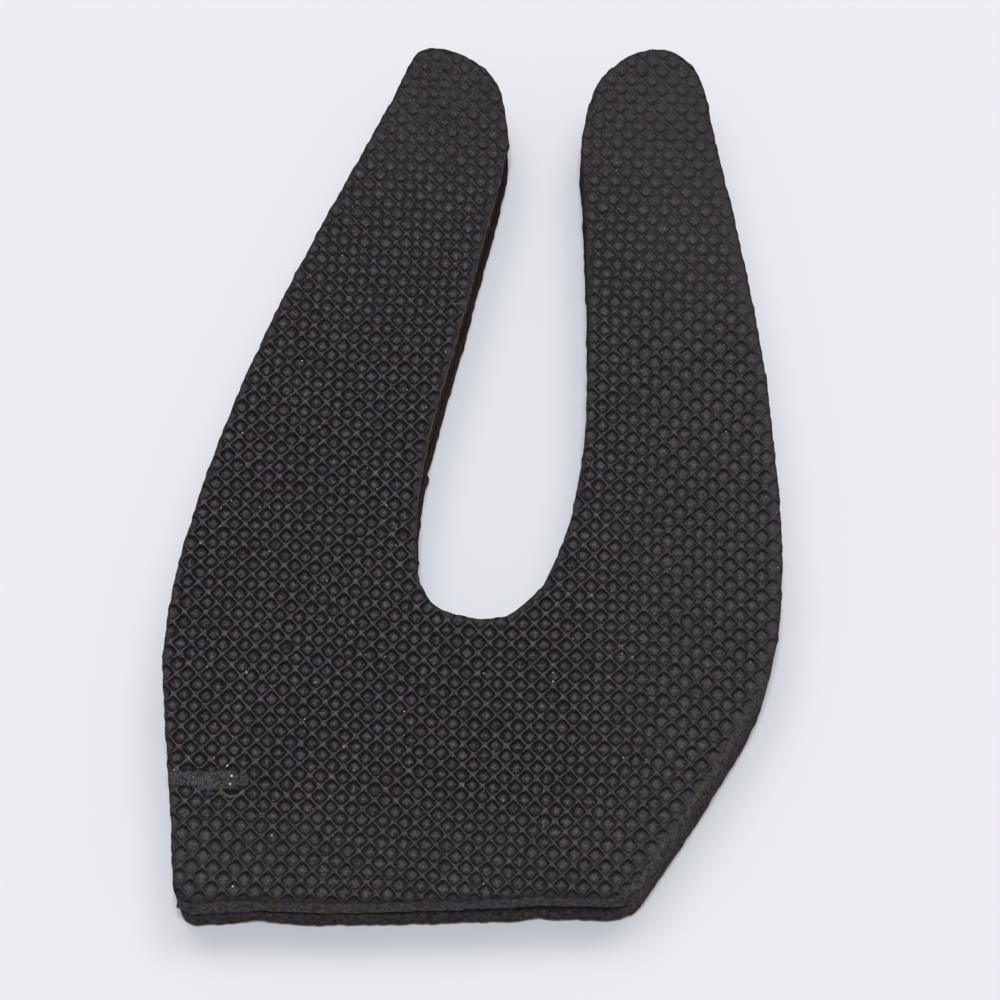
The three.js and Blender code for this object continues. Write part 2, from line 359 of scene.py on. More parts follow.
def ground_share(places):
    """1 where the edge was ground, along the lower right, and 0 where it is as cut."""
    corner = GROUND_CORNER_ACROSS * outline[:, 0].max()
    above_heel = places[..., 1] - outline[:, 1].min()
    low_down = 1 - smooth_step(GROUND_HEIGHT - GROUND_FADE, GROUND_HEIGHT, above_heel)
    return low_down * smooth_step(corner - GROUND_CORNER, corner, places[..., 0])


def crispness(places):
    """How deep the pattern is: 1 in the middle, less towards the leg tips, along the heel and the right
    side, at the left heel corner, and near the edge, most of all beside the ground part."""
    x, y = places[..., 0], places[..., 1]
    depth = 1
    for row in WEAR:
        depth = depth - row["most"] * smooth_step(row["start"], row["end"], places[..., row["axis"]])
    across = bell((x - CORNER_WEAR["x"]) / CORNER_WEAR["across"])
    depth = depth - CORNER_WEAR["most"] * across * bell((y - CORNER_WEAR["y"]) / CORNER_WEAR["along"])
    gone = from_edge(places)
    ground = ground_share(places)
    rim_width = RIM_WIDTH + RIM_WIDER * smooth_step(WIDER_FROM, WIDER_TO, x)
    rim = 1 - RIM_WEAR * (1 - ground) * (1 - smooth_step(RIM_START, 1, gone / rim_width))
    beside_ground = 1 - ground * (1 - smooth_step(GROUND_SIDE, GROUND_SIDE + GROUND_SIDE_FADE, gone))
    return depth * rim * beside_ground


def in_box(places, box, soft):
    """1 inside a box on the pad and 0 outside it, eased over the soft distance at its sides."""
    share = 1
    for axis, low, high in ((0, box.left, box.right), (1, box.bottom, box.top)):
        share = share * smooth_step(low - soft, low + soft, places[..., axis])
        share = share * smooth_step(high + soft, high - soft, places[..., axis])
    return share


stud_chance = np.random.default_rng(STUD_SEED).normal(0, 1, (STUD_GRID, STUD_GRID, 3))
stud_chance = np.clip(stud_chance, -2, 2) * (STUD_SHIFT, STUD_SHIFT, STUD_SPREAD) + (0, 0, 1)


def stud_of(cells):
    """What chance gave the stud of each cell: its two shifts, as shares of a cell, and its strength."""
    cell = np.floor(cells).astype(int) % STUD_GRID
    return stud_chance[cell[..., 0], cell[..., 1]]


def waffle_height(cells, places):
    """Height of the skin below the crests: the table's height for the distance to the nearest ridge,
    measured from the middle of the cell as a rounded square, (|u|^n + |v|^n)^(1/n), times the relief and
    the crispness. The stud's shift s moves a point at u to u - s (1 - 4u²), which leaves the ridges where
    they are. Worn studs are broader, and towards the tips one direction's ridges lie lower."""
    crisp = crispness(places)
    drop = WORN_DROP * smooth_step(WORN_FROM, WORN_TO, places[..., 1])
    stud = stud_of(cells)
    local = cells - np.floor(cells) - 0.5
    sides = abs(local - stud[..., :2] * (1 - 4 * local**2))
    sides[..., 1] = np.clip(sides[..., 1] - drop, 0, 0.5)
    from_middle = (sides**CELL_ROUNDING).sum(-1) ** (1 / CELL_ROUNDING)
    from_ridge = np.clip((0.5 - from_middle) * (1 + WORN_STUD * (1 - crisp)), 0, 0.5)
    fresh, worn = (np.interp(from_ridge, WAFFLE_CELL["from_ridge"], WAFFLE_CELL[column])
                   for column in ("height", "worn_height"))
    at_tip = smooth_step(TIP_FROM, TIP_TO, places[..., 1])
    height = fresh * (1 - at_tip) + worn * at_tip
    strength = np.where(from_ridge > STUD_FROM, stud[..., 2], 1)
    return -RELIEF * crisp * (1 - height * strength)


def press_marks(height, places):
    """The skin's height with the strip pressed flat, the creases beside it cut in, and the curved dent below
    it pushed in with its lip raised."""
    flat, creased = (np.max([in_box(places, box, MARK_SOFT) for box in boxes], axis=0)
                     for boxes in (PRESSED_BOXES, CREASES))
    height = height * (1 - flat) - RELIEF * (1 - PRESSED_LEVEL) * flat
    height = height - CREASE_DEPTH * creased
    away = np.hypot(places[..., 0] - DENT["x"], places[..., 1] - DENT["y"])
    below = smooth_step(DENT["below"] + DENT["fade"], DENT["below"] - DENT["fade"], places[..., 1])
    pushed = smooth_step(DENT["radius"] + MARK_SOFT, DENT["radius"] - MARK_SOFT, away) * below
    lip = bell((away - DENT["radius"] - DENT["lip"]) / DENT["lip"]) * below
    return height * (1 - lip) - DENT["depth"] * pushed


print("waffle:", WAFFLE_PITCH, "mm cells,", RELIEF, "mm deep")

# %% [markdown]
# ## Nodes for the materials
# A material is a small graph of nodes. Adding and linking them one by one takes many lines, so a few helpers
# do it: one adds a node and fills its sockets, one adds a piece of arithmetic, and the others are the
# patterns that the materials share.

# %% Node helpers
BUMP_HEIGHT = 0.15


def node(kind, fills, tree=None, **options):
    """Adds a shader node, sets its options, and fills its sockets with constants or links. Unless a tree is
    given, the node goes into the one that its links come from."""
    links = [value for value in fills.values() if isinstance(value, bpy.types.NodeSocket)]
    tree = tree or links[0].id_data
    made = tree.nodes.new("ShaderNode" + kind)
    for option, value in options.items():
        setattr(made, option, value)
    for socket, value in fills.items():
        if isinstance(value, bpy.types.NodeSocket):
            tree.links.new(value, made.inputs[socket])
        else:
            made.inputs[socket].default_value = value
    return made


def attribute(tree, name, output="Fac"):
    """A value that is stored on the mesh."""
    return node("Attribute", {}, tree, attribute_name=name).outputs[output]


def place_in(tree):
    """The place of a point in the object's own coordinates."""
    return node("TexCoord", {}, tree).outputs["Object"]


def lead(value, shader, socket):
    """Links a value to one of the shader's sockets."""
    shader.id_data.links.new(value, shader.inputs[socket])


def reckon(operation, *values, clamp=False):
    """One Math node's result."""
    return node("Math", dict(enumerate(values)), operation=operation, use_clamp=clamp).outputs[0]


def product(first, *others):
    """All the values multiplied together."""
    for other in others:
        first = reckon("MULTIPLY", first, other)
    return first


def greatest(first, *others):
    """The greatest of the values."""
    for other in others:
        first = reckon("MAXIMUM", first, other)
    return first


def toward(share, first, second):
    """A value that goes from the first to the second as the share goes from 0 to 1."""
    return node("Mix", {0: share, 2: first, 3: second}, data_type="FLOAT").outputs[0]


def grain(place, size, detail=2.0, roughness=0.5, output="Fac"):
    """Noise with blobs about this many millimetres across, from 0 to 1 round 0.5, grey or as a colour."""
    fills = {"Vector": place, "Scale": 1 / (size * MM), "Detail": detail, "Roughness": roughness}
    return node("TexNoise", fills).outputs[output]


def between(value, low, high, to_low=0.0, to_high=1.0, smooth=True):
    """A value carried from the range low..high to the range to_low..to_high, eased at both ends."""
    fills = {"Value": value, "From Min": low, "From Max": high, "To Min": to_low, "To Max": to_high}
    kind = "SMOOTHSTEP" if smooth else "LINEAR"
    return node("MapRange", fills, interpolation_type=kind).outputs["Result"]


def parts(vector):
    """The three numbers of a vector or colour."""
    return node("SeparateXYZ", {0: vector}).outputs


def together(x, y, z):
    """Three numbers as one vector or colour."""
    return node("CombineXYZ", {0: x, 1: y, 2: z}).outputs[0]


def blend_colours(share, first, second, how="MIX"):
    """Two colours mixed by a share."""
    return node("Mix", {0: share, 6: first, 7: second}, data_type="RGBA", blend_type=how).outputs[2]


def tinted(share, colour, tint):
    """A colour overlaid with a tint by a share."""
    return blend_colours(share, colour, blend_colours(1.0, colour, tint, "OVERLAY"))


def shaded(colour, shade):
    """A colour times a shade."""
    return blend_colours(1.0, colour, together(shade, shade, shade), "MULTIPLY")


def own_dice(first, second, seed):
    """A random number and a random colour that stay the same while both values do."""
    dice = node("TexWhiteNoise", {"Vector": together(first, second, seed)})
    return dice.outputs["Value"], dice.outputs["Color"]


def box_share(x, y, box, soft):
    """1 inside a box on the pad and 0 outside it, as in_box does for the mesh."""
    sides = [(x, box.left, soft), (x, box.right, -soft), (y, box.bottom, soft), (y, box.top, -soft)]
    shares = [between(value, (edge - give) * MM, (edge + give) * MM) for value, edge, give in sides]
    return product(*shares)


def away_from(here, x, y):
    """The distance in metres of a place from a point on the pad that is given in millimetres."""
    ends = {0: here, 1: (x * MM, y * MM, 0)}
    return node("VectorMath", ends, operation="DISTANCE").outputs["Value"]


def add_bump(shader, strength, height):
    """Leads a height from 0 to 1 into the shader as a bump of up to BUMP_HEIGHT millimetres."""
    fills = {"Strength": strength, "Distance": BUMP_HEIGHT * MM, "Height": height}
    lead(node("Bump", fills).outputs[0], shader, "Normal")


# %% [markdown]
# ## The pattern as shade and bump
# The grooves of a black waffle look nearly black, because little light gets into them and out again, and
# their far walls look darkest. The material paints that shade into the colour, with a painted highlight on
# the crests and the stud tops. The mesh alone is too coarse for the thin crests, so the material works out
# the same rounded cell from the lattice attribute and reads the same table. Each stud and each crossing also
# gets a shade and tint of its own by chance, since no two came out of the mould alike. Where the skin is worn
# the far wall of a hollow is painted the darker one, and on the domes at the tips the near one.

# %% The waffle as nodes
# WORN_SHADE is the even tone that the painted groove shade fades to where the pattern is shallow.
WORN_SHADE = 0.62
# Painted shade on each hollow's far and near walls, fresh, worn and at the tips; values above 1 are painted
# light.
HOLLOW_WALL_PAINTED_SHADES = [
    {"climb": 0.35, "crisp": 0.85, "worn": 0.5, "tip": 1.08},
    {"climb": -0.35, "crisp": 0.92, "worn": 1.45, "tip": 0.66},
]
TIP_LIGHT_FROM, TIP_LIGHT_TO = 12.0, 36.0
CROSSING_LOW, CROSSING_HIGH = 0.8, 1.08
# The corner lift lightens the painted groove shade near a hollow's corners, and the worn ridge factor dims the
# painted highlight on ridges where the skin is worn.
CORNER_LIFT = 1.1
WORN_RIDGE = 0.8
STUD_EDGE = (0.3, 0.6)
CROSSING_EDGE = (0.28, 0.1)
CORNER_EDGE = (0.04, 0.12)
RIDGE_EDGE = (0.2, 0.0)
HOLLOW_EDGE = (0.1, 0.4)
RING_BAND = [(0.06, 0.2), (0.75, 0.5)]
DOME_BAND = [(0.02, 0.3), (1.0, 0.5)]
WORN_EDGE = (0.9, 0.6)


def cell_column(inwards, column):
    """A ramp that reads one column of the cell's table for the share of the way to the stud's middle. A
    ramp's colours end at 1, so it holds half the value, and the result is doubled."""
    ramp = node("ValToRGB", {0: inwards})
    ramp.color_ramp.interpolation = "EASE"
    steps = ramp.color_ramp.elements
    rows = list(zip(WAFFLE_CELL["from_ridge"], WAFFLE_CELL[column]))
    for from_ridge, _ in rows[1:-1]:
        steps.new(from_ridge * 2)
    for step, (from_ridge, value) in zip(steps, rows):
        step.position = from_ridge * 2
        step.color = (value / 2, value / 2, value / 2, 1)
    return reckon("MULTIPLY", ramp.outputs[0], 2.0)


def shifted(side, shift):
    """The distance from the shifted middle of a cell: |u - s (1 - 4u²)|, as in the mesh."""
    local = reckon("SUBTRACT", reckon("FRACT", side), 0.5)
    fade = reckon("MULTIPLY_ADD", product(local, local), -4.0, 1.0)
    return local, reckon("ABSOLUTE", reckon("SUBTRACT", local, product(shift, fade)))


def cell_nodes(tree, p, q, crisp, up_the_pad):
    """Where a point lies in its cell: the share of the way from a ridge to the stud's middle, how near a
    corner of the hollow it is, how far up the pad from the middle, and the stud's strength."""
    shift_p, shift_q, strength = parts(attribute(tree, "stud", "Vector"))
    drop = between(up_the_pad, WORN_FROM * MM, WORN_TO * MM, 0.0, WORN_DROP)
    local_p, from_p = shifted(p, shift_p)
    local_q, from_q = shifted(q, shift_q)
    from_q = reckon("SUBTRACT", from_q, drop, clamp=True)
    powers = [reckon("POWER", side, CELL_ROUNDING) for side in (from_p, from_q)]
    from_middle = reckon("POWER", reckon("ADD", *powers), 1 / CELL_ROUNDING)
    broader = reckon("MULTIPLY_ADD", crisp, -WORN_STUD, 1 + WORN_STUD)
    inwards = product(reckon("MULTIPLY_ADD", from_middle, -2.0, 1.0, clamp=True), broader)
    up_p = product(local_p, math.sin(LATTICE_TURN))
    climb = reckon("ADD", up_p, product(local_q, math.cos(LATTICE_TURN)))
    return reckon("MINIMUM", inwards, 1.0), product(from_p, from_q), climb, strength


def chance_nodes(p, q, on_stud, strength):
    """What chance gave a point: its stud's shade, its crossing's shade, and the tint of the nearer one."""
    stud_tint = own_dice(reckon("FLOOR", p), reckon("FLOOR", q), 1.0)[1]
    number, crossing_tint = own_dice(reckon("ROUND", p), reckon("ROUND", q), 2.0)
    to_crossing = reckon("ADD", reckon("PINGPONG", p, 0.5), reckon("PINGPONG", q, 0.5))
    by_chance = between(number, 0.0, 1.0, CROSSING_LOW, CROSSING_HIGH, smooth=False)
    crossing_shade = toward(between(to_crossing, *CROSSING_EDGE), 1.0, by_chance)
    tint = blend_colours(on_stud, crossing_tint, stud_tint)
    return toward(on_stud, 1.0, strength), crossing_shade, tint


def wall_light(up_the_pad, inwards, climb, worn, at_tip):
    """The painted shade of a hollow's far and near walls. Fresh hollows show it in a ring round the stud, and
    the worn ones at the tips all over their dome."""
    ring, dome = (product(*[between(inwards, *edge) for edge in edges]) for edges in (RING_BAND, DOME_BAND))
    climb = product(climb, toward(at_tip, ring, dome))
    tip_light = between(up_the_pad, TIP_LIGHT_FROM * MM, TIP_LIGHT_TO * MM)
    shades = []
    for wall in HOLLOW_WALL_PAINTED_SHADES:
        shade = toward(tip_light, toward(worn, wall["crisp"], wall["worn"]), wall["tip"])
        shades.append(toward(between(climb, 0.0, wall["climb"]), 1.0, shade))
    return product(*shades)


def waffle_nodes(tree, up_the_pad):
    """The waffle's height, its painted shade and highlight, and its own tint at a point of the skin, how far
    inside a hollow it is, and how crisp the pattern is there."""
    p, q, crisp = parts(attribute(tree, "lattice", "Vector"))
    inwards, in_corner, climb, strength = cell_nodes(tree, p, q, crisp, up_the_pad)
    on_stud = between(inwards, *STUD_EDGE)
    stud_shade, crossing_shade, own_tint = chance_nodes(p, q, on_stud, strength)
    lift = between(in_corner, *CORNER_EDGE, 1.0, CORNER_LIFT)
    worn = between(crisp, *WORN_EDGE)
    at_tip = between(up_the_pad, TIP_FROM * MM, TIP_TO * MM)
    ridge_shade = toward(product(between(inwards, *RIDGE_EDGE), worn), 1.0, WORN_RIDGE)
    fresh = product(cell_column(inwards, "shade"), stud_shade, crossing_shade, lift, ridge_shade)
    fresh = toward(crisp, WORN_SHADE, fresh)
    shade = toward(at_tip, fresh, cell_column(inwards, "worn_shade"))
    shade = product(shade, wall_light(up_the_pad, inwards, climb, worn, at_tip))
    columns = [cell_column(inwards, name) for name in ("height", "worn_height")]
    height = product(toward(at_tip, *columns), crisp)
    return height, shade, own_tint, between(inwards, *HOLLOW_EDGE), crisp


# %% [markdown]
# ## The waffle skin's material
# Black rubber shows mostly as the soft gloss of its crests. The strip is an even mid grey, its creases and
# the dent are dark, and the dent's lip is pale. White dust sits on the skin in specks, the largest of them
# placed one by one, and a smear of glue has left a faint green-blue mark on the heel's rim.
# The dark of the creases and the dent is painted shade, the lip's pale is partly its own colour and partly a
# painted highlight, the hollows are painted warmer as light, and the skin is darkened with painted shade near
# the cut edge, most along the heel.

# %% The skin's material
SKIN_COLOUR = (0.0496, 0.0444, 0.0496, 1)
# Painted light: the hollows are coloured warmer than the skin, standing for warmer light in them.
PAINTED_WARM_HOLLOW_COLOUR = (0.052, 0.0432, 0.0507, 1)
DUST_COLOUR = (0.62, 0.62, 0.66, 1)
SMEAR_COLOUR = (0.028, 0.046, 0.046, 1)
# The lip's colour is partly its own yellowish tone and partly a painted highlight on the raised lip.
LIP_COLOUR_AND_HIGHLIGHT = (0.095, 0.088, 0.066, 1)
Speck = namedtuple("Speck", "x y radius")
BRIGHT_SPECKS = [
    Speck(-32.12, -42.84, 0.13),
    Speck(-31.5, -44.2, 0.13),
    Speck(-31.67, -45.3, 0.12),
    Speck(-26.1, -52.2, 0.09),
    Speck(-31.0, -59.0, 0.11),
]
# Painted shade: the skin darkens towards the cut edge over EDGE_DARK millimetres, and more within the heel's
# rim.
EDGE_DARK, EDGE_SHADE = 0.7, 0.68
HEEL_RIM = (1.3, 0.3)
HEEL_FROM, HEEL_TO = -57.0, -60.0
HEEL_SHADE = 0.65
GRAIN_CRISP, GRAIN_WORN = 4.9, 0.9
WORN_DUST_LESS = 0.06
DUST_SPACING, DUST_RADIUS = 1.3, 0.075
DUST_CHANCE = 0.86
SMEAR = Box(-32.4, -27.4, -61.2, -60.2)
SMEAR_SOFT, SMEAR_SHARE = 0.4, 0.6
WOBBLE = 0.25
SHADE_SOFT = 0.1
STRIP_SHADE = 0.72
# Painted shade darkens the creases and the dent.
DENT_SHARE, DENT_SHADE = 0.85, 0.12
LIP_BAND = [(0.0, 0.2), (0.55, 0.3)]
LIP_SHARE = 0.8
OWN_TINT, TINT_SHARE = 0.14, 0.38
BLOTCH_SHADES = (0.96, 1.04)
GROOVE_ROUGHNESS, CREST_ROUGHNESS = 0.95, 0.5
GRAIN_BUMP = 0.3


def mark_nodes(x, y):
    """The strip's, the creases' and dent's, and the lip's shares at a place."""
    strip, creases = (greatest(*[box_share(x, y, box, SHADE_SOFT) for box in boxes])
                      for boxes in (PRESSED_BOXES, CREASES))
    away = away_from(together(x, y, 0.0), DENT["x"], DENT["y"])
    below = between(y, (DENT["below"] + SHADE_SOFT) * MM, (DENT["below"] - SHADE_SOFT) * MM)
    inside, outside = ((DENT["radius"] - side * SHADE_SOFT) * MM for side in (1, -1))
    pushed = product(between(away, outside, inside), below)
    past_rim = reckon("SUBTRACT", away, DENT["radius"] * MM)
    lip = product(*[between(past_rim, low * MM, high * MM) for low, high in LIP_BAND], below)
    return strip, greatest(creases, pushed), lip


def dust_nodes(place, x, y, crisp):
    """1 on a dust speck: near a chosen few of a field of scattered points, fewer where the skin is worn, or
    near a placed one."""
    fills = {"Vector": place, "Scale": 1 / (DUST_SPACING * MM)}
    points = node("TexVoronoi", fills, voronoi_dimensions="2D")
    chance, paleness, _ = parts(points.outputs["Color"])
    chance = reckon("SUBTRACT", chance, between(crisp, 1.0, 0.5, 0.0, WORN_DUST_LESS))
    size = between(chance, DUST_CHANCE, 1.0, 0.0, DUST_RADIUS, smooth=False)
    specks = [product(reckon("LESS_THAN", points.outputs["Distance"], size), paleness)]
    here = together(x, y, 0.0)
    for speck in BRIGHT_SPECKS:
        away = away_from(here, speck.x, speck.y)
        specks.append(reckon("LESS_THAN", away, speck.radius * MM))
    return greatest(*specks)


def skin_material(name):
    """Rubber skin with the waffle, the marks and the dust, and with blotches and fine grain over it all. The
    grain and the tints are stronger where the pattern is crisp."""
    material, tree, shader = bare_material(name, roughness=0.55, specular=0.17)
    place = place_in(tree)
    x, y, _ = parts(place)
    shifts = parts(grain(place, size=0.8, output="Color"))
    x_near, y_near = [
        reckon("MULTIPLY_ADD", shift, 2 * WOBBLE * MM, reckon("SUBTRACT", side, WOBBLE * MM))
        for shift, side in zip(shifts, (x, y))
    ]
    height, shade, own_tint, inside, crisp = waffle_nodes(tree, y)
    strip, dark, lip = mark_nodes(x_near, y_near)
    shade = toward(strip, shade, STRIP_SHADE)
    # Painted shade in the creases and the dent.
    shade = toward(product(dark, DENT_SHARE), shade, DENT_SHADE)
    # Painted shade near the cut edge, darker along the heel's rim.
    gone = attribute(tree, "from_edge")
    heel_rim = product(between(gone, *HEEL_RIM), between(y, HEEL_FROM * MM, HEEL_TO * MM))
    heel_shade = toward(heel_rim, 1.0, HEEL_SHADE)
    at_edge = product(between(gone, 0.0, EDGE_DARK, EDGE_SHADE, 1.0), heel_shade)
    blotch = between(grain(place, size=9, detail=3.0), 0.3, 0.7, *BLOTCH_SHADES)
    fine = grain(place, size=0.38, detail=3.0, roughness=0.88)
    swing = reckon("MULTIPLY_ADD", crisp, GRAIN_CRISP, GRAIN_WORN)
    grained = reckon("MULTIPLY_ADD", reckon("SUBTRACT", fine, 0.5), swing, 1.0)
    shade = product(shade, at_edge, blotch, grained)
    tint = blend_colours(OWN_TINT, grain(place, size=0.9, output="Color"), own_tint)
    # Painted light: the hollows take the warmer colour.
    base = blend_colours(inside, SKIN_COLOUR, PAINTED_WARM_HOLLOW_COLOUR)
    colour = tinted(product(crisp, TINT_SHARE), base, tint)
    smear = product(box_share(x_near, y_near, SMEAR, SMEAR_SOFT), SMEAR_SHARE)
    colour = blend_colours(smear, colour, SMEAR_COLOUR)
    # The lip is painted paler: partly its own colour, partly a painted highlight.
    colour = blend_colours(product(lip, LIP_SHARE), shaded(colour, shade), LIP_COLOUR_AND_HIGHLIGHT)
    dust = dust_nodes(place, x, y, crisp)
    lead(blend_colours(dust, colour, DUST_COLOUR), shader, "Base Color")
    roughness = between(shade, 0.2, 1.0, GROOVE_ROUGHNESS, CREST_ROUGHNESS, smooth=False)
    lead(roughness, shader, "Roughness")
    relief = toward(strip, height, PRESSED_LEVEL)
    add_bump(shader, strength=0.8, height=reckon("MULTIPLY_ADD", fine, GRAIN_BUMP, relief))
    return material


skin = skin_material("waffle_skin")
print("skin material:", len(skin.node_tree.nodes), "nodes")

# %% [markdown]
# ## The cut edge's material
# Where the knife went through, the rubber's cells are open, so the edge has no gloss at all but a fine porous
# grain, and glue and dirt have stained it olive and brown in places. The lower ply's edge is darker than the
# upper one's and browner at the left corner. Painted shade darkens the top of the upper wall, the lower ply's
# foot most, and both plies towards the seam. The slot's left wall is dark brown, darkened further with painted
# shade, and its rim has a painted highlight. The part that was ground on a wheel is mottled, and a stored
# attribute says where that is.

# %% The cut edge's material
UPPER_STAINS = [
    {"box": Box(-36.3, -33.9, -62.5, -58.0), "colour": (0.070, 0.067, 0.047, 1)},
    {"box": Box(-27.7, -25.4, -62.5, -58.0), "colour": (0.079, 0.074, 0.055, 1)},
    {"box": Box(-13.9, -11.4, -62.5, -58.0), "colour": (0.079, 0.074, 0.053, 1)},
    {"box": Box(21.6, 22.6, -62.5, -60.2), "colour": (0.2, 0.17, 0.13, 1)},
]
LOWER_STAINS = [
    {"box": Box(-41.5, -37.6, -62.5, -55.0), "colour": (0.068, 0.048, 0.036, 1)},
    {"box": Box(-31.2, -28.6, -62.5, -58.0), "colour": (0.062, 0.042, 0.036, 1)},
]
# Painted shade bands: the top of the upper wall and the lower ply's foot.
UPPER_RIM = {"from": upper_high[2] - 0.8, "to": upper_high[2] - 0.2, "shade": 0.75}
LOWER_RIM = {"from": lower_low[2] + 0.9, "to": lower_low[2], "shade": 0.35}
# Painted shade darkens the slot's left wall, and the top of it gets a painted highlight with a shade of 2.6.
SLOT_WALL = Box(-8.5, 7.0, -13.5, 70.0)
SLOT_RIM_HIGHLIGHT = {"from": upper_high[2] - 1.5, "to": upper_high[2] - 0.9, "shade": 2.6}
SLOT_SOFT, SLOT_SHARE, SLOT_SHADE = 1.5, 0.75, 0.8
SLOT_BROWN = (0.066, 0.050, 0.046, 1)
GROUND_SHADE, GROUND_SHARE = 0.94, 0.7
GROUND_BROWN = (0.066, 0.059, 0.058, 1)
STAIN_SOFT, STAIN_SHARE = 0.5, 0.5
CUT_TINT, GROUND_TINT = 0.25, 0.4
WIDE_FROM, WIDE_TO = -15.0, 12.0
PATCH_SHARE = 0.7
PORE_STRETCH, PORE_SHADES = 0.45, (0.4, 1.6)
SEAM_LEVEL = (lower_high[2] + upper_low[2]) / 2
# Painted shade towards the seam, over a band that widens to the right.
SEAM_PAINTED_SHADE = 0.42
SEAM_SHADE_NARROW, SEAM_SHADE_WIDE = 1.0, 2.2


def cut_material(name, colour, brown, stains, rim):
    """Cut cellular rubber: colour from patches, placed stains and the mottled ground part, shade and bump
    from the pores, which are drawn out up the wall, and painted shade in a band at the rim and towards the
    seam.
    On the slot's wall the colour is painted darker, with a painted highlight along its rim."""
    material, tree, shader = bare_material(name, roughness=0.95, specular=0.0)
    place = place_in(tree)
    x, y, z = parts(place)
    ground = attribute(tree, "ground")
    as_cut = reckon("SUBTRACT", 1.0, ground)
    in_slot = box_share(x, y, SLOT_WALL, SLOT_SOFT)
    patches = between(grain(place, size=3.5, detail=3.0), 0.45, 0.7, 0.0, PATCH_SHARE)
    base = blend_colours(patches, colour, brown)
    for stain in stains:
        share = product(box_share(x, y, stain["box"], STAIN_SOFT), STAIN_SHARE)
        base = blend_colours(share, base, stain["colour"])
    base = blend_colours(product(ground, GROUND_SHARE), base, GROUND_BROWN)
    base = blend_colours(product(in_slot, SLOT_SHARE), base, SLOT_BROWN)
    tint_share = between(ground, 0.0, 1.0, CUT_TINT, GROUND_TINT)
    base = tinted(tint_share, base, grain(place, size=0.8, output="Color"))
    # Painted shade in the rim band, towards the seam and on the slot's wall, and a painted highlight along the
    # slot's rim.
    at_rim = between(z, rim["from"] * MM, rim["to"] * MM)
    pressed = product(at_rim, as_cut, reckon("SUBTRACT", 1.0, in_slot))
    slot_rim_highlight = between(z, SLOT_RIM_HIGHLIGHT["from"] * MM, SLOT_RIM_HIGHLIGHT["to"] * MM)
    slot_shade = toward(in_slot, 1.0, toward(slot_rim_highlight, SLOT_SHADE, SLOT_RIM_HIGHLIGHT["shade"]))
    # Painted shade towards the seam.
    from_seam = reckon("ABSOLUTE", reckon("SUBTRACT", z, SEAM_LEVEL * MM))
    reach = between(x, WIDE_FROM * MM, WIDE_TO * MM, SEAM_SHADE_NARROW * MM, SEAM_SHADE_WIDE * MM)
    seam_shade_share = product(between(reckon("DIVIDE", from_seam, reach), 1.0, 0.0), as_cut)
    rim_shade, seam_shade = toward(pressed, 1.0, rim["shade"]), toward(seam_shade_share, 1.0, SEAM_PAINTED_SHADE)
    lines = product(rim_shade, seam_shade, slot_shade)
    drawn_out = together(x, y, product(z, PORE_STRETCH))
    pores = grain(drawn_out, size=0.6, detail=4.0, roughness=0.75)
    lift = between(ground, 0.0, 1.0, 1.0, GROUND_SHADE)
    shade = product(between(pores, 0.3, 0.7, *PORE_SHADES), lift, lines)
    lead(shaded(base, shade), shader, "Base Color")
    add_bump(shader, strength=0.9, height=pores)
    return material


upper_cut = cut_material("upper_cut_edge", (0.074, 0.072, 0.082, 1), (0.071, 0.062, 0.055, 1),
                         UPPER_STAINS, UPPER_RIM)
lower_cut = cut_material("lower_cut_edge", (0.050, 0.047, 0.053, 1), (0.059, 0.050, 0.043, 1),
                         LOWER_STAINS, LOWER_RIM)
print("cut edge materials:", upper_cut.name, lower_cut.name)

# %% [markdown]
# ## The embossed sheet
# Before it was cut, each ply was part of a large flat sheet with the waffle on one side. It could be stamped
# with one modelled cell and an array, but a height worked out on a grid that follows the ridges needs no
# joins and can fade where the sheet is worn. The grid has seven lines to a cell, closest together at the
# ridges. The sheet stretched a little in the press, so the lattice is bent in slow, slight waves.

# %% The embossed sheet
GRID_LINES = np.array([0.0, 0.08, 0.2, 0.42, 0.58, 0.8, 0.92])
BELOW_BACK = 1.0
STRETCH = 0.16


def turned_by(turn, points):
    """Points turned about the origin: x cos - y sin and x sin + y cos."""
    x, y = points[..., 0], points[..., 1]
    cosine, sine = math.cos(turn), math.sin(turn)
    return np.stack([x * cosine - y * sine, x * sine + y * cosine], axis=-1)


def to_lattice(points, turn, origin):
    """Places on the pad in cells along the two ridge directions."""
    return turned_by(-turn, (points - origin) / WAFFLE_PITCH)


def stretched(places):
    """How far the sheet was stretched at a place, in slow waves along and across the pad."""
    x, y = places[..., 0], places[..., 1]
    sideways = np.sin(x / 9 + y / 13 + 0.7) + np.sin(y / 6.5 - x / 17 + 2.1)
    lengthways = np.sin(y / 10 - x / 12 + 1.3) + np.sin(x / 7 + y / 21)
    return STRETCH * np.stack([sideways, lengthways], axis=-1)


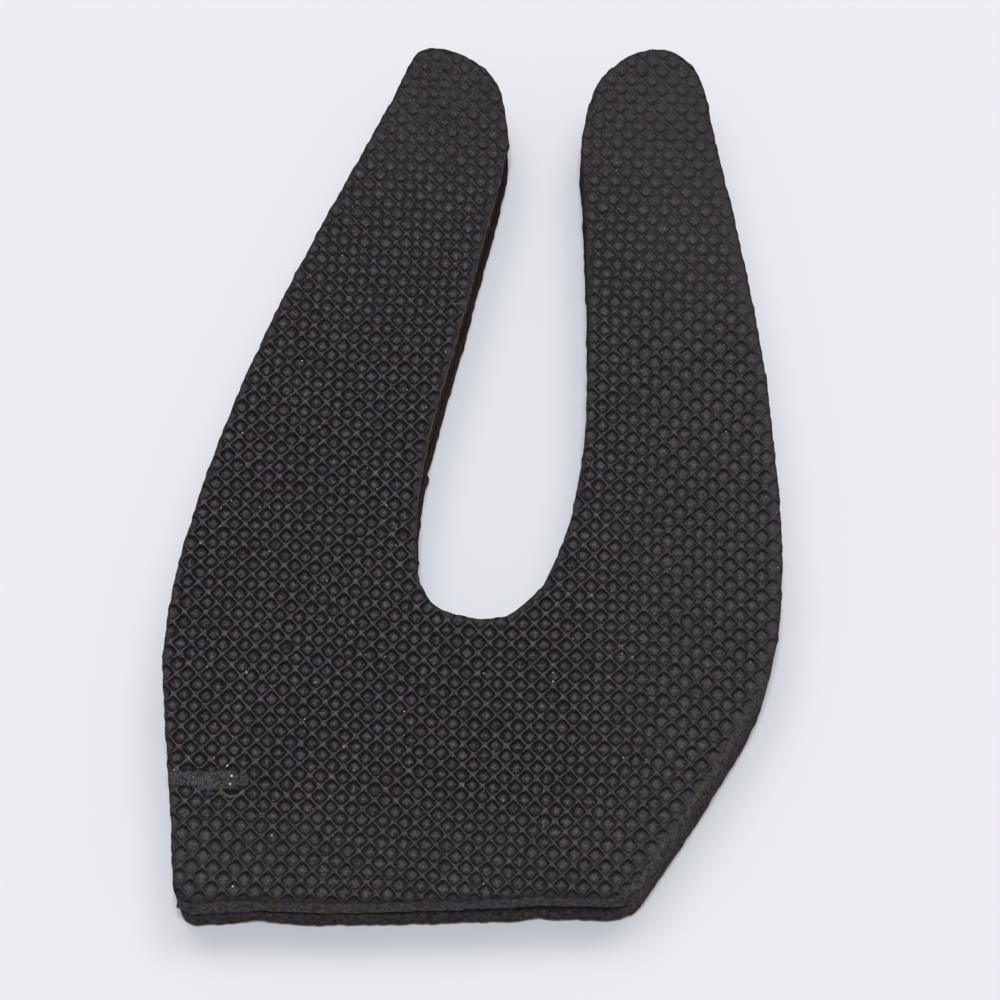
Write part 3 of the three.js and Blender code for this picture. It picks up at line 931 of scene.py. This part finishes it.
def embossed_sheet(name, turn, origin, face, up, material):
    """A closed block of sheet that covers the outline: a grid on the lattice lines raised by the waffle,
    a skirt round it, and a flat bottom beyond the ply's back. Where up is -1 it is turned over, and so
    is the order of each triangle's corners."""
    reach = to_lattice(outline, turn, origin)
    first, last = np.floor(reach.min(0)) - 1, np.ceil(reach.max(0)) + 1
    lines = [(np.arange(first[k], last[k])[:, None] + GRID_LINES).ravel() for k in range(2)]
    cells = np.stack(np.meshgrid(*lines, indexing="ij"), axis=-1)
    places = turned_by(turn, cells) * WAFFLE_PITCH + origin
    places = places + stretched(places)
    height = waffle_height(cells, places)
    if up > 0:
        height = press_marks(height, places)
    top = np.concatenate([places, (face + up * height)[..., None]], axis=-1)
    rows, columns = height.shape
    number = np.arange(rows * columns).reshape(rows, columns)
    a, b, c, d = number[:-1, :-1], number[1:, :-1], number[1:, 1:], number[:-1, 1:]
    middle = (cells[:-1, :-1] + cells[1:, 1:]) / 2 % 1 - 0.5
    rising = (middle[..., 0] * middle[..., 1] > 0)[..., None, None]
    one_way = np.stack([np.stack([a, b, c], -1), np.stack([a, c, d], -1)], axis=-2)
    other_way = np.stack([np.stack([a, b, d], -1), np.stack([b, c, d], -1)], axis=-2)
    skin_triangles = np.where(rising, one_way, other_way).reshape(-1, 3)
    rim = np.concatenate([number[:-1, 0], number[-1, :-1], number[:0:-1, -1], number[0, :0:-1]])
    bottom = face - up * (PLY_THICKNESS + BELOW_BACK)
    skirt = top.reshape(-1, 3)[rim]
    skirt[:, 2] = bottom
    centre = np.append(places.reshape(-1, 2).mean(0), bottom)
    points = np.vstack([top.reshape(-1, 3), skirt, centre])
    low = number.size + np.arange(len(rim))
    hub = np.full(len(rim), len(points) - 1)
    base = np.stack([np.roll(low, -1), low, hub], 1)
    triangles = np.concatenate([skin_triangles, band(low, rim), base])
    return object_from(name, points, triangles[:, ::up], material)


upper_sheet = embossed_sheet("upper_sheet", LATTICE_TURN, LATTICE_ORIGIN, upper_high[2], 1, skin)
lower_sheet = embossed_sheet("lower_sheet", UNDER_TURN, UNDER_ORIGIN, lower_low[2], -1, skin)
print("embossed sheets:", len(upper_sheet.data.polygons), len(lower_sheet.data.polygons), "triangles")

# %% [markdown]
# ## The knife
# The knife's cut is a wall that follows the outline: a short profile carried round the path. Most of the
# edge is as cut, with a small turned-in arris at the glued back. The lower right was ground afterwards, so
# there the profile leans in towards the pattern, and the lower ply's foot is rounded all the way. Along the
# ground part and at the left of the heel the rubber is smeared over the seam, so a lip there reaches over the
# glue to the other ply. The wall wanders by a few hundredths of a millimetre, as a hand-held knife does, and
# has a few nubs, shreds and chips.

# %% The knife's wall
CUT_ARRIS, WIDE_ARRIS, FOOT_ARRIS = 0.35, 1.0, 0.45
UPPER_BEVEL, LOWER_BEVEL = 1.1, 0.3
SMEARED_TO, SMEARED_SOFT = -28.5, 2.0
SMEARED_FROM, WIDENED_FROM, HEEL_END = -50.0, -40.0, -58.0
LIP_ROOT, LIP_REACH = 0.75, 0.47
FINE_CHANCE, WAVE_HEIGHT = 0.012, 0.02
WAVES_ROUND = (37, 61, 97, 149, 233, 311)
EDGE_PROFILE = {
    "height": [0.0, 0.05, 0.14, 0.27, 0.42, 0.57, 0.7, 0.82, 0.9, 1.0, 1.12],
    "arris": [1.0, 0.55, 0.25, 0.12, 0.12, 0.12, 0.06, 0.0, 0.05, 0.15, 0.3],
    "bevel": [0.0, 0.0, 0.0, 0.02, 0.04, 0.1, 0.2, 0.34, 0.52, 1.0, 1.7],
    "foot": [0.0, 0.0, 0.0, 0.0, 0.0, 0.0, 0.0, 0.06, 0.3, 1.0, 1.9],
}
Nick = namedtuple("Nick", "x y height reach wide tall")
UPPER_NICKS = [
    Nick(2.7, 34.5, 0.6, 0.4, 0.5, 0.2),
    Nick(4.2, 47.2, 0.6, 0.3, 0.5, 0.2),
    Nick(40.5, -24.6, 0.5, 0.35, 0.4, 0.15),
    Nick(-38.7, -60.2, 0.1, 0.5, 0.35, 0.12),
]
LOWER_NICKS = [
    Nick(8.1, -61.4, 0.97, -0.9, 0.5, 0.16),
    Nick(-28.0, -61.4, 1.0, -0.25, 2.4, 0.4),
    Nick(-33.0, -61.4, 1.0, 0.12, 1.5, 0.3),
    Nick(-6.3, 0.8, 0.6, 0.4, 0.25, 0.2),
    Nick(-6.3, 0.0, 0.6, 0.3, 0.25, 0.2),
    Nick(-7.0, -11.4, 0.6, 0.3, 0.3, 0.2),
]


def closed_share(places):
    """1 where the rubber is smeared over the seam: along the ground part and at the left of the heel."""
    near_heel = smooth_step(SMEARED_FROM, HEEL_END, places[..., 1])
    on_left = smooth_step(SMEARED_TO + SMEARED_SOFT, SMEARED_TO - SMEARED_SOFT, places[..., 0])
    return np.maximum(ground_share(places), on_left * near_heel)


def wander(seed, ragged, nicks):
    """How far the wall stands out at each row and path point: sums of sines round the path that lean up the
    wall, fine chance, a ragged share that grows towards the skin, and the nicks as small bells."""
    rng = np.random.default_rng(seed)
    turns = np.arange(len(outline)) / len(outline) * 2 * math.pi
    height = np.array(EDGE_PROFILE["height"])[:, None]
    offset = rng.normal(0, FINE_CHANCE, (len(height), len(outline)))
    for waves in WAVES_ROUND:
        phase, lean = rng.uniform(0, 2 * math.pi), rng.uniform(-2, 2)
        offset += np.sin(waves * turns + phase + lean * height) * (WAVE_HEIGHT + ragged * height**3)
    for nick in nicks:
        nearest = np.linalg.norm(outline - (nick.x, nick.y), axis=1).argmin()
        away = np.linalg.norm(outline - outline[nearest], axis=1)
        offset += nick.reach * bell(away / nick.wide) * bell((height - nick.height) / nick.tall)
    return offset


def cap_triangles(path):
    """Triangles that fill a closed flat path, by Blender's own tessellation of one face."""
    corners = [Vector((x, y, 0)) for x, y in path.tolist()]
    return np.array(tessellate_polygon([corners]))


def knife_body(name, back, up, bevel, foot, stand_out, material):
    """A closed body inside the knife's wall: rings of the outline moved inwards by the profile, with a cap
    at each end. The first ring is the lip's root, and where the seam is smeared the next one reaches nearly
    half the seam's gap past the ply's back."""
    ground, closed = ground_share(outline), closed_share(outline)
    near_heel = smooth_step(WIDENED_FROM, HEEL_END, outline[:, 1])
    widening = smooth_step(WIDE_FROM, WIDE_TO, outline[:, 0]) * near_heel
    arris = (CUT_ARRIS + (WIDE_ARRIS - CUT_ARRIS) * widening) * (1 - closed)
    arrises, bevels, feet = (np.array(EDGE_PROFILE[part])[:, None] for part in ("arris", "bevel", "foot"))
    inset = arrises * arris + bevels * bevel * ground + feet * foot - stand_out
    inset = np.vstack([np.full((1, len(outline)), LIP_ROOT), inset])
    height = np.array([0.0] + EDGE_PROFILE["height"])[:, None] * PLY_THICKNESS * np.ones(len(outline))
    height[1] -= closed * (upper_low[2] - lower_high[2]) * LIP_REACH
    flat = outline[None] - outline_normal[None] * inset[..., None]
    rings = np.concatenate([flat, (back + up * height)[..., None]], axis=-1)
    count = len(outline)
    number = np.arange(rings.shape[0] * count).reshape(rings.shape[0], count)
    bottom, top = cap_triangles(flat[0]), cap_triangles(flat[-1])
    triangles = np.concatenate([band(number[:-1], number[1:]), bottom[:, ::-1], top + number[-1, 0]])
    return object_from(name, rings.reshape(-1, 3), triangles[:, ::up], material)


upper_wander = wander(seed=11, ragged=0.01, nicks=UPPER_NICKS)
lower_wander = wander(seed=12, ragged=0.02, nicks=LOWER_NICKS)
upper_knife = knife_body("upper_knife", upper_low[2], 1, UPPER_BEVEL, 0.0, upper_wander, upper_cut)
lower_knife = knife_body("lower_knife", lower_high[2], -1, LOWER_BEVEL, FOOT_ARRIS, lower_wander, lower_cut)
print("knife walls:", len(upper_knife.data.polygons), len(lower_knife.data.polygons), "triangles")

# %% [markdown]
# ## Cutting the plies out
# What is inside both the sheet and the knife's wall is the ply. Blender's Boolean modifier works that out,
# and its Manifold solver keeps both bodies' materials, so the skin and the cut edge stay apart. The scallops
# where the knife crosses the pattern come for free. The line between skin and cut is marked sharp, and the
# rest is shaded smooth.

# %% Cut the plies out
def cut_out(name, sheet, knife):
    """The part of the sheet inside the knife's wall, as a new object at the origin."""
    cut = sheet.modifiers.new("knife", "BOOLEAN")
    cut.object = knife
    cut.operation = "INTERSECT"
    cut.solver = "MANIFOLD"
    cut.material_mode = "TRANSFER"
    graph = bpy.context.evaluated_depsgraph_get()
    what_stays = sheet.evaluated_get(graph)
    mesh = bpy.data.meshes.new_from_object(what_stays, preserve_all_data_layers=True, depsgraph=graph)
    mesh.name = name
    ply = bpy.data.objects.new(name, mesh)
    bpy.context.scene.collection.objects.link(ply)
    for spent in (sheet, knife):
        bpy.data.objects.remove(spent)
    return ply


def part_skin_from_cut(ply):
    """Smooth shading everywhere, with a sharp edge wherever the two faces beside it differ in material."""
    mesh = ply.data
    mesh.polygons.foreach_set("use_smooth", np.ones(len(mesh.polygons), bool))
    material = numbers_of(mesh.polygons, "material_index", 1, np.int32)
    total = numbers_of(mesh.polygons, "loop_total", 1, np.int32)
    edge = numbers_of(mesh.loops, "edge_index", 1, np.int32)
    beside = np.repeat(material, total)
    low, high = (np.full(len(mesh.edges), start) for start in (material.max(), material.min()))
    np.minimum.at(low, edge, beside)
    np.maximum.at(high, edge, beside)
    mesh.edges.foreach_set("use_edge_sharp", low != high)
    return int((low != high).sum())


def store(ply, turn, origin):
    """Attributes for the materials: the place in cells with its crispness, what chance gave the stud, the
    ground share and the distance from the edge. The cells are those of the place before the stretch."""
    places = numbers_of(ply.data.vertices, "co", 3, np.float32)[:, :2] / MM
    flat = places - stretched(places - stretched(places))
    cells = to_lattice(flat, turn, origin)
    stored = {
        "lattice": np.hstack([cells, crispness(places)[:, None]]),
        "stud": stud_of(cells),
        "ground": ground_share(places),
        "from_edge": from_edge(places),
    }
    for name, values in stored.items():
        kind, field = ("FLOAT_VECTOR", "vector") if values.ndim > 1 else ("FLOAT", "value")
        slot = ply.data.attributes.new(name, kind, "POINT")
        slot.data.foreach_set(field, values.astype(np.float32).ravel())


upper_ply = cut_out("upper_ply_dressed", upper_sheet, upper_knife)
lower_ply = cut_out("lower_ply_dressed", lower_sheet, lower_knife)
for ply, turn, origin in ((upper_ply, LATTICE_TURN, LATTICE_ORIGIN), (lower_ply, UNDER_TURN, UNDER_ORIGIN)):
    border = part_skin_from_cut(ply)
    store(ply, turn, origin)
    ply.data.calc_loop_triangles()
    print(ply.name, len(ply.data.loop_triangles), "triangles,", border, "edges between skin and cut")

# %% [markdown]
# ## The glue
# The two plies were joined with contact glue. It dried to a thin brown-black film that stops a little short
# of the cut edge, where it closes the seam. The solid has the right shape, so it stays and only gets a
# material: dull, dark brown, a little blotchy.

# %% The glue film's material
GLUE_DARK, GLUE_BROWN = (0.012, 0.007, 0.005, 1), (0.035, 0.018, 0.010, 1)

glue, glue_tree, glue_shader = bare_material("dried_glue", roughness=0.6, specular=0.4)
glue_place = place_in(glue_tree)
glue_blotch = between(grain(glue_place, size=1.5, detail=3.0), 0.3, 0.7)
lead(blend_colours(glue_blotch, GLUE_DARK, GLUE_BROWN), glue_shader, "Base Color")
glue_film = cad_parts["glue_film"]
glue_film.material_slots[0].material = glue
print("glue film:", len(glue_film.data.polygons), "triangles,", glue_film.material_slots[0].material.name)

# %% [markdown]
# ## Handing over
# Each dressed ply stands for its solid, which is hidden, and rides on the pad's one body.

# %% Hand over
for ply, solid in ((upper_ply, "upper_ply"), (lower_ply, "lower_ply")):
    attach(ply, "root")
    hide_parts(solid)
